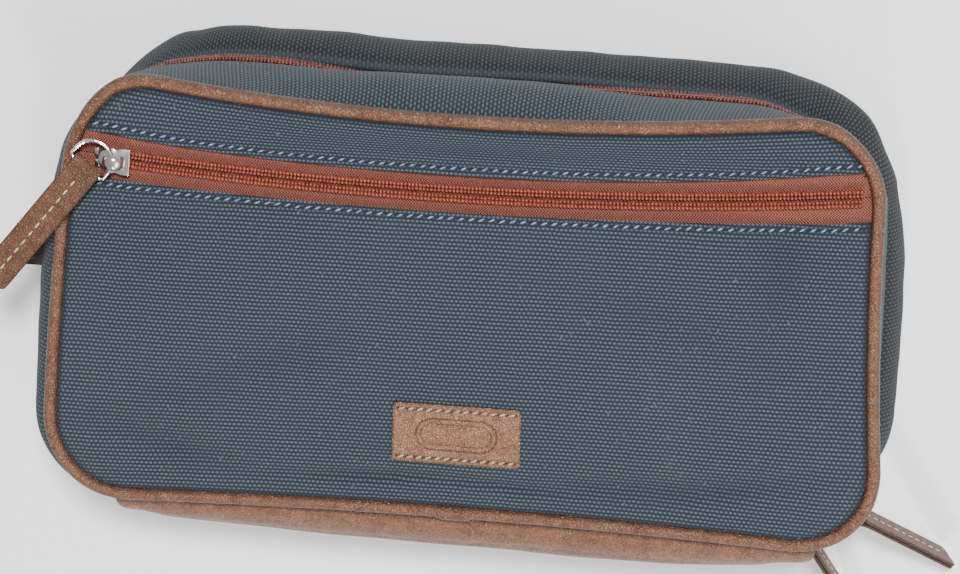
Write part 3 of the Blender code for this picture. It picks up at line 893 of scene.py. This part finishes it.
def makeTray(name, rim, floorZ, inset, wave):
    # a sheet from the rim, down the wall and in to the middle of the floor, or flat where both are level
    rise = abs(floorZ - rim)
    walled = rise > 1
    wallShare = 0.32
    turn = 1 if rim < floorZ else -1

    def place(u, v):
        s = roundLength * u
        x, y, nx, ny = outline(s)
        wall = np.clip(v / wallShare, 0, 1) if walled else np.ones_like(v)
        flat = np.clip((v - wallShare) / (1 - wallShare), 0, 1) if walled else v
        draw = inset - zipRise(x, ny) * (1 - 0.8 * wall) * walled
        draw = draw + 1.8 * walled * np.exp(-((1 - wall) * rise / 3.0)) * np.exp(-flat * 12)
        x, y = (x - nx * draw) * (1 - flat), (y - ny * draw) * (1 - flat)
        z = rim + (floorZ - rim) * wall
        swell = wave * waves(x, y, 41, 45) * ease(flat * 5)
        swell = swell + wave * 0.8 * waves(s, z * 2, 43, 30) * np.sin(np.pi * wall) * (flat == 0)
        swell = np.abs(swell)
        z = z - turn * swell * ease(flat * 5)
        x, y = x - nx * swell * (flat == 0), y - ny * swell * (flat == 0)
        return x, y, z, np.where(flat > 0, x, s), np.where(flat > 0, y, z)

    obj = gridPiece(name, 280, 60, place)
    mergeEdges(obj)
    return obj


for side, rim, floorZ in (("back", 27.2, 2.9), ("front", 36.8, 54.2)):
    piece = makeTray(side + "LiningCloth", rim, floorZ, 3.5, 0.5)
    layCloth(piece, towardsMiddle, 0.45)
    enter(piece, "lining", side + "_half", [side + "_lining"])

pocketWall = makeTray("pocketLiningCloth", 55.75, 55.75, 3.2, 0.15)
layCloth(pocketWall, upward, 0.5)
enter(pocketWall, "lining", "front_half", ["pocket_back_wall"])


def makeBackPanel():
    obj = makeTray("backCanvas", 1.7, 1.7, 1.5, 0.0)
    points = coords(obj) / mm
    x, y, _ = points.T
    inside = insideBy(x, y)
    swell = 0.25 * (1 + waves(x, y, 47, 50)) * ease(inside / 20)
    points[:, 2] = 0.35 + 0.9 * hump(inside - 1.5, 1.6) + swell
    setCoords(obj, points * mm)
    layCloth(obj, downward, 1.2)
    enter(obj, "canvas", "back_half", ["back_panel"])


makeBackPanel()
print("back panel and linings done")


# zips: woven tapes and coils of small teeth

zips = {
    "tapeThick": 0.6,
    "mainMiddle": -1.4,
    "mainStart": 98.6,
    "pitch": 1.15,
    "pocketMiddle": 61.6,
    "pocketLeft": -111.0,
    "pocketRight": 120.5,
}


def makeTooth():
    # one turn of the coil and its sewing: X along the zip, Y across it, Z up
    bumps = []
    for across, length, wide, high in ((0.80, 0.60, 0.62, 0.90), (2.02, 0.66, 0.78, 1.05)):
        clearChoice()
        spot = (0, across * mm, 0)
        bpy.ops.mesh.primitive_uv_sphere_add(segments=8, ring_count=5, radius=1, location=spot)
        bump = bpy.context.object
        bump.scale = (length * mm, wide * mm, high * mm)
        bump.rotation_euler = (0, 0, math.radians(24))
        freeze(bump)
        bumps.append(bump)
    return joinAll(bumps)


tooth = makeTooth()


def ridge(name, spots, body, node):
    obj = copies(name, tooth, spots)
    settle(obj)
    smooth(obj, 50)
    enter(obj, "mainCoil" if node.startswith("main") else "coil", body, [node])


def tapeStrip(name, place, body, node, seen):
    obj = gridPiece(name, 300, 10, place)
    layCloth(obj, seen, zips["tapeThick"])
    enter(obj, "tape", body, [node])


def makeMainZip():
    k = zips
    length = roundLength - 2 * k["mainStart"]
    for side, way in (("back", -1), ("front", 1)):
        near, far = bag["zipDepth"] + way * 0.9, bag["zipDepth"] + way * 10.5

        def place(u, v):
            s = k["mainStart"] - 1.5 + (length + 3) * u
            x, y, nx, ny = outline(s)
            n = zipRise(x, ny) + 0.5 * zipLift(x, ny) - 2.15 - 0.25 * np.sin(np.pi * v)
            return x + nx * n, y + ny * n, near + (far - near) * v, s, 10 * v

        half = side + "_half"
        tapeStrip(side + "ZipTape", place, half, "main_zip_tape_" + side, awayFromMiddle)
        count = int(length / k["pitch"])
        s = k["mainStart"] + (np.arange(count) + (0.5 if way > 0 else 0)) * k["pitch"]
        x, y, nx, ny = outline(s)
        spots = []
        for i in range(count):
            out = k["mainMiddle"] + float(zipRise(x[i], ny[i]) + 1.1 * zipLift(x[i], ny[i]))
            spot = (x[i] + nx[i] * out, y[i] + ny[i] * out, bag["zipDepth"])
            spots.append(axes(spot, (-ny[i] * way, nx[i] * way, 0), (nx[i], ny[i], 0)))
        ridge(side + "ZipCoil", spots, half, "main_zip_coil_" + side)


def makePocketZip():
    k = zips
    left, right = k["pocketLeft"], k["pocketRight"]
    for name, way in (("Upper", 1), ("Lower", -1)):
        tapeNode, coilNode = ("pocket_zip_" + kind + name.lower() for kind in ("tape_", "coil_"))

        def place(u, v):
            n = 0.12 + 9.6 * v
            end = sideX(zipY(119) + way * n, 1.6)
            x = (2 * u - 1) * end
            z = k["pocketMiddle"] - 1.05 - 0.30 * hump(v, 0.3)
            return x, zipY(x) + way * n, z, x, 10 * v

        tapeStrip("pocketTape" + name, place, "front_half", tapeNode, upward)
        count = int((right - left) / k["pitch"])
        spots = []
        for i in range(count):
            x = left + (i + (0.5 if way > 0 else 0)) * k["pitch"]
            lean = float(zipY(x + 0.5)) - float(zipY(x - 0.5))
            spots.append(axes((x, float(zipY(x)), k["pocketMiddle"]), (way, way * lean, 0), (0, 0, 1)))
        ridge("pocketCoil" + name, spots, "front_half", coilNode)


makeMainZip()
makePocketZip()
bpy.data.objects.remove(tooth, do_unlink=True)


def makeStops():
    for name in ("Upper", "Lower"):
        node = "pocket_zip_stop_" + name.lower()
        low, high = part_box(node)
        middle = [(a + b) / 2 for a, b in zip(low, high)]
        clearChoice()
        bpy.ops.mesh.primitive_cube_add(size=1, location=middle, scale=[b - a for a, b in zip(low, high)])
        stop = bpy.context.object
        stop.name = stop.data.name = "pocketStop" + name
        freeze(stop)
        editAll(stop, (bpy.ops.mesh.bevel, {"offset": 0.35 * mm, "segments": 3}))
        smooth(stop, 40)
        enter(stop, "nickel", "front_half", [node])


makeStops()
print("zips done")


# stitching

def makeStitch(length, wide, high):
    clearChoice()
    bpy.ops.mesh.primitive_uv_sphere_add(segments=8, ring_count=6, radius=1, rotation=(0, math.pi / 2, 0))
    stitch = bpy.context.object
    freeze(stitch)
    points = coords(stitch)
    lit = hump(points[:, 1], 0.45) * hump(points[:, 0] - 0.1, 0.55) * (points[:, 2] > 0.3)
    markPoints(stitch, "lit", lit)
    setCoords(stitch, points * np.array([length / 2, wide / 2, high / 2]) * mm)
    return stitch


def sewn(name, spots, body, thread, size):
    stitch = makeStitch(*size)
    obj = copies(name, stitch, spots)
    bpy.data.objects.remove(stitch, do_unlink=True)
    settle(obj)
    smooth(obj, 80)
    finish(obj, thread)
    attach(obj, body)
    return obj


def pocketStitches():
    pitch = 3.15
    for name, way, away in (("Above", 1, frontPanel["stitchAbove"]), ("Below", -1, frontPanel["stitchBelow"])):

        def rowY(at):
            return float(zipY(at) + way * (slotHalf(at) + away))

        spots = []
        x = -117.5
        while x < 119:
            y = rowY(x)
            if insideBy(x, y) > 2.4:
                lean = rowY(x + 0.5) - rowY(x - 0.5) + 0.42 + rng.uniform(-0.05, 0.05)
                spot = (x, y + rng.uniform(-0.1, 0.1), float(frontHeight(x, y)) + 0.06)
                spots.append(axes(spot, (1, lean, 0), (0, 0, 1)))
            x += pitch * rng.uniform(0.96, 1.04)
        sewn("pocketStitches" + name, spots, "front_half", "navyThread", (2.8, 1.05, 0.8))


pocketStitches()


# label patch with a plain blind emboss

label = {
    "centre": (0.3, -38.4),
    "half": (19.25, 9.5),
    "radius": 1.6,
    "thick": 1.25,
    "stitches": 13,
    "stitchIn": 1.7,
    # two plain pressed outlines: half width, half height, depth, line and shade
    "frames": ((12.2, 5.0, 0.30, 0.24, 1.0), (10.6, 3.4, 0.18, 0.22, 0.7)),
}


def labelHeight(x, y):
    # the stiff patch follows only a third of the canvas's swell
    return frontHeight(x, y) * 0.35 + float(frontHeight(*label["centre"])) * 0.65 + label["thick"]


def makeLabel():
    k = label
    cx, cy = k["centre"]
    halfX, halfY = k["half"]
    rowY = halfY - k["stitchIn"]

    def place(u, v):
        x, y = (2 * u - 1) * halfX, (2 * v - 1) * halfY
        # round the four corners by drawing the grid in
        dx = np.maximum(np.abs(x) - halfX + k["radius"], 0)
        dy = np.maximum(np.abs(y) - halfY + k["radius"], 0)
        far = np.maximum(np.hypot(dx, dy), 1e-6)
        pull = np.where((dx > 0) & (dy > 0), np.minimum(1, np.maximum(dx, dy) / far), 1)
        x = np.sign(x) * (np.abs(x) - dx * (1 - pull))
        y = np.sign(y) * (np.abs(y) - dy * (1 - pull))
        z = labelHeight(cx + x, cy + y) + 0.15 - 0.45 * hump(roundedBox(x, y, halfX, halfY, k["radius"]), 0.45)
        for wide, tall, deep, line, _ in k["frames"]:
            z = z - deep * hump(roundedBox(x, y, wide, tall, tall), line)
        z = z - 0.22 * hump(np.abs(y) - rowY, 0.55)
        return cx + x, cy + y, z, x, y

    obj = gridPiece("leatherLabel", 230, 114, place)
    x, y, _ = (coords(obj) / mm - [cx, cy, 0]).T
    markPoints(obj, "rim", hump(roundedBox(x, y, halfX, halfY, k["radius"]), 0.4) * 0.6)
    # painted shade: darker in the pressed outlines and in the grooves of the stitch rows
    paintedShade = sum(
        shade * hump(roundedBox(x, y, wide, tall, tall), line)
        for wide, tall, _, line, shade in k["frames"]
    )
    row = hump(np.abs(y) - rowY, 0.62) * (np.abs(x) < halfX - 1)
    markPoints(obj, "paintedShade", paintedShade * 0.9 + row)
    layCloth(obj, upward, k["thick"] - 0.1)
    enter(obj, "label", "front_half", ["label_patch"])
    spots = []
    for way in (1, -1):
        for i in range(k["stitches"]):
            x = cx + (i - (k["stitches"] - 1) / 2) * (2 * halfX - 2.6) / k["stitches"]
            spot = (x, cy + way * rowY, float(labelHeight(x, cy + way * rowY)) + 0.05)
            spots.append(axes(spot, (1, rng.uniform(0.3, 0.5), 0), (0, 0, 1)))
    sewn("labelStitches", spots, "front_half", "labelThread", (2.2, 0.85, 0.9))


makeLabel()
print("label and stitches done")


# sliders, rings and folded leather pulls

slider = {
    "near": 2.0,
    "far": 2.8,
    "length": 9.5,
    "half": 4.0,
    "drawn": 1.2,  # how far the narrow end's corners are drawn in
    "webAt": 2.2,
    "webRadius": 0.26,
    "archRadius": 2.95,
    "archWire": 0.62,
}


def makeSliderModel():
    # X along the zip, Y across, Z away from the coil, its origin at the coil's middle
    k = slider
    parts = []
    for way in (1, -1):
        clearChoice()
        middle = way * (k["near"] + k["far"]) / 2 * mm
        bpy.ops.mesh.primitive_grid_add(x_subdivisions=18, y_subdivisions=12, size=2, location=(0, 0, middle))
        plate = bpy.context.object
        freeze(plate)
        t, across, _ = coords(plate).T
        waist = 1 - 0.30 * ease((-t - 0.1) / 0.9) - 0.12 * hump(t - 0.12, 0.22)
        x = t * k["length"] / 2 + k["drawn"] * np.maximum(-t, 0) * across ** 2
        z = middle / mm + way * 0.75 * (1 - across ** 2) * (1 - 0.6 * t ** 2)
        setCoords(plate, np.stack([x, across * k["half"] * waist, z], 1) * mm)
        thicken(plate, (k["far"] - k["near"]) * 0.9, 0.2, 0, 3, 50)
        parts.append(plate)
    clearChoice()
    depth = (2 * k["near"] + 0.2) * mm
    spot = (k["webAt"] * mm, 0, 0)
    bpy.ops.mesh.primitive_cylinder_add(vertices=16, radius=k["webRadius"] * mm, depth=depth, location=spot)
    web = bpy.context.object
    freeze(web)
    points = coords(web) / mm
    points[:, 0] = k["webAt"] + (points[:, 0] - k["webAt"]) * 5.0
    setCoords(web, points * mm)
    parts.append(web)
    clearChoice()
    bpy.ops.mesh.primitive_torus_add(
        major_segments=40, minor_segments=12, rotation=(math.pi / 2, 0, 0),
        major_radius=k["archRadius"] * mm, minor_radius=k["archWire"] * mm,
    )
    arch = bpy.context.object
    freeze(arch)
    points = coords(arch) / mm
    points[:, 1] *= 3.4 - 0.9 * ease(-points[:, 0] / 3)
    points[:, 2] = points[:, 2] * 1.16 + k["far"] - 0.35
    setCoords(arch, points * mm)
    foot = {"plane_co": (0, 0, (k["far"] - 0.1) * mm), "plane_no": (0, 0, 1)}
    editAll(arch, (bpy.ops.mesh.bisect, {"clear_inner": True, "use_fill": True, **foot}))
    parts.append(arch)
    return joinAll(parts)


pull = {
    "bow": 6.0,
    "bar": 3.0,
    "wire": 4.8,
    "half": 4.9,
    "length": 48.0,
    "layer": 1.0,
    "eye": 1.28,
    "neck": 5.0,
    "slit": 0.1,
    "corner": 1.8,
    "rim": 0.45,
    "pitch": 3.5,
    "grooves": ((0, 0.5, 0.14), (3.9, 0.4, 0.06)),  # distance from the middle, half width and depth
}


def alongRoute(route):
    # x and z of a folded strip at a share of its length, and that length
    route = np.array(route)
    step = np.concatenate([[0], np.cumsum(np.hypot(*np.diff(route, axis=0).T))])

    def at(u):
        length = u * step[-1]
        return np.interp(length, step, route[:, 0]), np.interp(length, step, route[:, 1]), length

    return at


def makeStrapModel():
    # X along the strap, Y across, Z out of it, with the ring's bar at X = bar
    k = pull
    lay = k["slit"] + k["layer"] / 2
    far = k["length"] + k["bar"]
    neck = k["neck"] + k["bar"]
    route = [(far - (far - neck) * i / 34, -lay) for i in range(35)]
    for i in range(1, 7):
        t = ease(i / 7)
        route.append((neck - (neck - k["bar"]) * i / 7, -lay - (k["eye"] - lay) * t))
    for i in range(13):
        angle = math.radians(270 - 180 * i / 12)
        route.append((k["bar"] + k["eye"] * math.cos(angle), k["eye"] * math.sin(angle)))
    for i in range(1, 7):
        t = ease(1 - i / 7)
        route.append((k["bar"] + (neck - k["bar"]) * i / 7, lay + (k["eye"] - lay) * t))
    route += [(neck + (far - neck) * i / 34, lay) for i in range(35)]
    fold = alongRoute(route)

    def place(u, v):
        x, z, length = fold(u)
        past = np.maximum(x - (far - k["corner"]), 0)
        half = k["half"] - k["corner"] + np.sqrt(np.maximum(k["corner"] ** 2 - past ** 2, 0.02))
        y = (2 * v - 1) * half
        return x, y, z, length, y

    obj = gridPiece("strapModel", 150, 14, place)
    thicken(obj, k["layer"] * 0.97, 0.22, 0)
    points = coords(obj) / mm
    x, y, z = points.T
    near = np.minimum(k["half"] - np.abs(y), np.maximum(far - x, 0))
    markPoints(obj, "rim", 0.85 * hump(near, k["rim"]))
    groove = sum(deep * hump(np.abs(y) - middle, wide) for middle, wide, deep in k["grooves"])
    points[:, 2] = z - np.sign(z) * groove * (np.abs(z) > 0.8) * (x > neck)
    setCoords(obj, points * mm)
    smooth(obj, 50)
    return obj


def strapStitchSpots():
    k = pull
    spots = []
    x = k["bar"] + k["neck"] + 1.5
    top = k["slit"] + k["layer"] - 0.04
    while x < k["bar"] + k["length"] - 3:
        for way in (1, -1):
            spots.append(axes((x, 0, way * top), (1, 0, 0), (0, 0, way)))
        x += k["pitch"]
    return spots


sliderModel = makeSliderModel()
strapModel = makeStrapModel()
cornerMiddle = Vector((bag["halfWidth"] - bag["corner"], -(bag["halfHeight"] - bag["corner"]), bag["zipDepth"]))


def makePull(prefix, spot, along, up, bow, strapAlong, strapAcross):
    obj = copies(prefix + "SliderBody", sliderModel, [axes(spot, along, up)])
    smooth(obj, 35)
    enter(obj, "nickel", prefix + "_slider", [prefix + "_slider"])
    finish(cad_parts[prefix + "_pull_ring"], "nickel")
    turn = axes(bow, strapAlong, Vector(strapAlong).cross(Vector(strapAcross)))
    strap = copies(prefix + "LeatherPull", strapModel, [turn])
    smooth(strap, 50)
    enter(strap, "pull", prefix + "_strap", [prefix + "_pull_strap"])
    stitch = makeStitch(2.3, 0.6, 0.5)
    thread = copies(prefix + "PullStitches", stitch, [turn @ s for s in strapStitchSpots()])
    bpy.data.objects.remove(stitch, do_unlink=True)
    smooth(thread, 80)
    finish(thread, "creamThread")
    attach(thread, prefix + "_strap")


pocketPull = {"x": -105.2, "angle": 231}
# direction of the slider round the right corner and of its strap, in degrees, and how far both straps droop
cornerPulls = (("side", -55, -36), ("corner", -81, -62))
droop = math.radians(31)


def heading(degrees):
    return Vector((math.cos(math.radians(degrees)), math.sin(math.radians(degrees)), 0))


def makePulls():
    k = pull
    x = pocketPull["x"]
    spot = Vector((x, float(zipY(x)), zips["pocketMiddle"]))
    centreY = zipLine["ends"] - zipLine["sag"] + zipRadius
    normal = Vector((spot.x, spot.y - centreY, 0)).normalized()
    along = Vector((-normal.y, normal.x, 0))
    strap = heading(pocketPull["angle"])
    bow = spot + Vector((0, 0, k["wire"])) - along * k["bow"]
    makePull("pocket", spot, along, (0, 0, 1), bow, strap, Vector((-strap.y, strap.x, 0)))
    for prefix, at, aim in cornerPulls:
        normal, level = heading(at), heading(aim)
        spot = cornerMiddle + normal * (bag["corner"] + zips["mainMiddle"])
        strap = level * math.cos(droop) - Vector((0, 0, math.sin(droop)))
        across = level * math.sin(droop) + Vector((0, 0, math.cos(droop)))
        bow = spot + normal * k["wire"] + level * k["bow"]
        makePull(prefix, spot, Vector((normal.y, -normal.x, 0)), normal, bow, strap, across)


makePulls()
bpy.data.objects.remove(sliderModel, do_unlink=True)
bpy.data.objects.remove(strapModel, do_unlink=True)


# folded tab at the left end

sideTab = {"short": 2.6, "lower": 2.8, "turn": 1.4, "lay": 0.75, "thick": 1.15, "bevel": 0.25}


def makeSideTab():
    k = sideTab
    low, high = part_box("side_tab")
    x0, x1 = high[0] / mm, low[0] / mm + k["short"] + k["turn"]
    base, top = low[1] / mm + k["lower"], high[1] / mm
    middle = (low[2] + high[2]) / 2 / mm
    lay = k["lay"]
    route = [(x0 + (x1 - x0) * i / 10, -lay) for i in range(11)]
    for angle in np.radians(range(15, 180, 15)):
        route.append((x1 - lay * 1.2 * math.sin(angle), -lay * math.cos(angle)))
    route += [(x1 + (x0 - x1) * i / 10, lay) for i in range(11)]
    fold = alongRoute(route)

    def place(u, v):
        x, z, length = fold(u)
        y = base + (top - base) * v
        return x, y, middle + z + 0.12 * waves(x, y, 61, 12), length, y

    obj = gridPiece("foldedSideTab", 60, 24, place)
    thicken(obj, k["thick"], k["bevel"], 0)
    y = coords(obj)[:, 1] / mm
    markPoints(obj, "rim", 0.8 * hump(np.minimum(y - base, top - y), 0.5))
    smooth(obj, 50)
    enter(obj, "tab", "front_half", ["side_tab"])


makeSideTab()
print("pulls and tab done")


# floor, light and camera

def makeStage():
    clearChoice()
    bpy.ops.mesh.primitive_plane_add(size=6, location=(0, 0, -0.0003))
    ground = bpy.context.object
    ground.name = "paleFloor"
    freeze(ground)
    f = Finish("paleFloor", Roughness=0.9)
    pale = f.blend(f.noise(3, 2), (0.955, 0.955, 0.95), (0.97, 0.97, 0.965))
    ground.data.materials.append(f.connect(Base_Color=pale))


lights = (
    ("keyLight", (0.16, 0.62, 1.30), 0.24, 33.0),
    ("fillLight", (0.9, -0.5, 0.9), 0.8, 7.0),
    ("frontLight", (0.1, -1.0, 0.9), 0.22, 10.0),
)


def makeLights():
    for name, place, size, power in lights:
        lamp = bpy.data.lights.new(name, "AREA")
        lamp.shape = "DISK"
        lamp.size = size
        lamp.energy = power
        obj = bpy.data.objects.new(name, lamp)
        obj.location = place
        obj.rotation_euler = (Vector((0, 0, 0.03)) - Vector(place)).to_track_quat("-Z", "Y").to_euler()
        bpy.context.collection.objects.link(obj)
    room = bpy.data.worlds.new("paleRoom")
    room.use_nodes = True
    backdrop = room.node_tree.nodes["Background"]
    backdrop.inputs["Color"].default_value = world["colour"]
    backdrop.inputs["Strength"].default_value = world["strength"]
    bpy.context.scene.world = room


world = {"colour": (1.0, 0.99, 0.97, 1), "strength": 0.42}
view = {
    "tiltX": 6.0,
    "tiltY": 18.0,
    "roll": 1.85,
    "distance": 750.0,
    "aimAt": (0, 0, 62),
    "lens": 93.92,
    "shift": (0.01948, 0.02615),
}


def makeCamera():
    k = view
    aim = Vector((math.tan(math.radians(k["tiltX"])), math.tan(math.radians(k["tiltY"])), 1)).normalized()
    right = Vector((0, 1, 0)).cross(aim).normalized()
    up = aim.cross(right)
    turn = Matrix((right, up, aim)).transposed() @ Matrix.Rotation(math.radians(k["roll"]), 3, "Z")
    data = bpy.data.cameras.new("camera")
    data.sensor_width = 36
    data.lens = k["lens"]
    data.clip_start = 0.05
    data.shift_x, data.shift_y = k["shift"]
    camera = bpy.data.objects.new("camera", data)
    camera.matrix_world = Matrix.Translation((Vector(k["aimAt"]) + aim * k["distance"]) * mm) @ turn.to_4x4()
    bpy.context.collection.objects.link(camera)
    bpy.context.scene.camera = camera


makeStage()
makeLights()
makeCamera()
